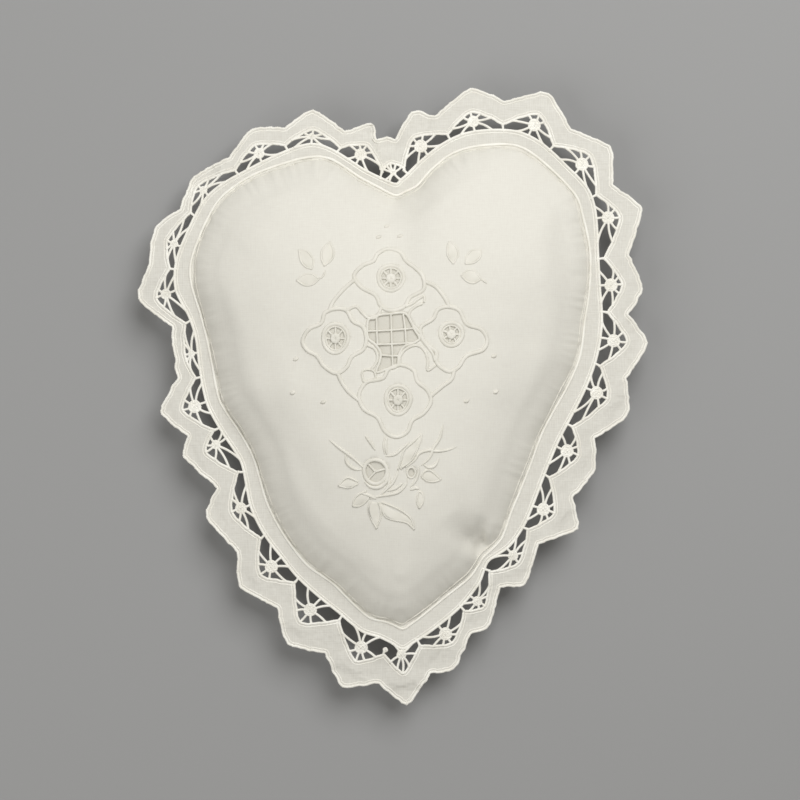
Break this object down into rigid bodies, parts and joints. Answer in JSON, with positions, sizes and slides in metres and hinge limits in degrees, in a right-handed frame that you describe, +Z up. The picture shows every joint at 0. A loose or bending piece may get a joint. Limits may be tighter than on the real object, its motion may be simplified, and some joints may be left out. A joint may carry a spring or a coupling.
{
  "type": "ring bearer pillow",
  "caption": "Heart-shaped stuffed ring pillow with openwork embroidery on the front and a cutwork border of woven wheels with a scalloped edge.",
  "frame": {"origin": "under the middle of the border's outline, on the surface that the pillow lies on", "axes": "+Y towards the cleft of the heart, +X to the right seen from the front, +Z up out of the front"},
  "size_m": [0.256, 0.31, 0.0512],
  "materials": {
    "ivory_cotton": "plain woven cotton, off-white",
    "casing_cloth": "thin plain cotton",
    "lace_thread": "mercerised cotton thread, soft sheen",
    "embroidery_thread": "satin stitch in cotton thread, soft sheen",
    "polyester_fibre": "loose fibre"
  },
  "bodies": {
    "root": {"back_cover": "ivory_cotton", "band_inner_stitch": "lace_thread", "band_outer_stitch": "lace_thread", "border_flange": "ivory_cotton", "casing_back": "casing_cloth", "casing_front": "casing_cloth", "fibre_filling": "polyester_fibre", "flange_edge_stitch": "lace_thread", "flower_bottom": "embroidery_thread", "flower_bottom_eye_ring": "embroidery_thread", "flower_bottom_eye_web": "lace_thread", "flower_left": "embroidery_thread", "flower_left_eye_ring": "embroidery_thread", "flower_left_eye_web": "lace_thread", "flower_right": "embroidery_thread", "flower_right_eye_ring": "embroidery_thread", "flower_right_eye_web": "lace_thread", "flower_top": "embroidery_thread", "flower_top_eye_ring": "embroidery_thread", "flower_top_eye_web": "lace_thread", "front_cover": "ivory_cotton", "lace_wheel_01": "lace_thread", "lace_wheel_02": "lace_thread", "lace_wheel_03": "lace_thread", "lace_wheel_04": "lace_thread", "lace_wheel_05": "lace_thread", "lace_wheel_06": "lace_thread", "lace_wheel_07": "lace_thread", "lace_wheel_08": "lace_thread", "lace_wheel_09": "lace_thread", "lace_wheel_10": "lace_thread", "lace_wheel_11": "lace_thread", "lace_wheel_12": "lace_thread", "lace_wheel_13": "lace_thread", "lace_wheel_14": "lace_thread", "lace_wheel_15": "lace_thread", "lace_wheel_16": "lace_thread", "lace_wheel_17": "lace_thread", "lace_wheel_18": "lace_thread", "lace_wheel_19": "lace_thread", "lace_wheel_20": "lace_thread", "lace_wheel_21": "lace_thread", "lace_wheel_22": "lace_thread", "lace_wheel_23": "lace_thread", "lace_wheel_24": "lace_thread", "lace_wheel_25": "lace_thread", "lace_wheel_26": "lace_thread", "lace_wheel_27": "lace_thread", "lace_wheel_28": "lace_thread", "lattice_frame": "embroidery_thread", "lattice_strands": "lace_thread", "link_bottom_left": "embroidery_thread", "link_bottom_right": "embroidery_thread", "link_top_left": "embroidery_thread", "link_top_right": "embroidery_thread", "rose_eye_ring": "embroidery_thread", "rose_eye_web": "lace_thread", "rose_stem": "embroidery_thread", "scalloped_band": "ivory_cotton", "seam_cord": "lace_thread"}
  },
  "joints": []
}
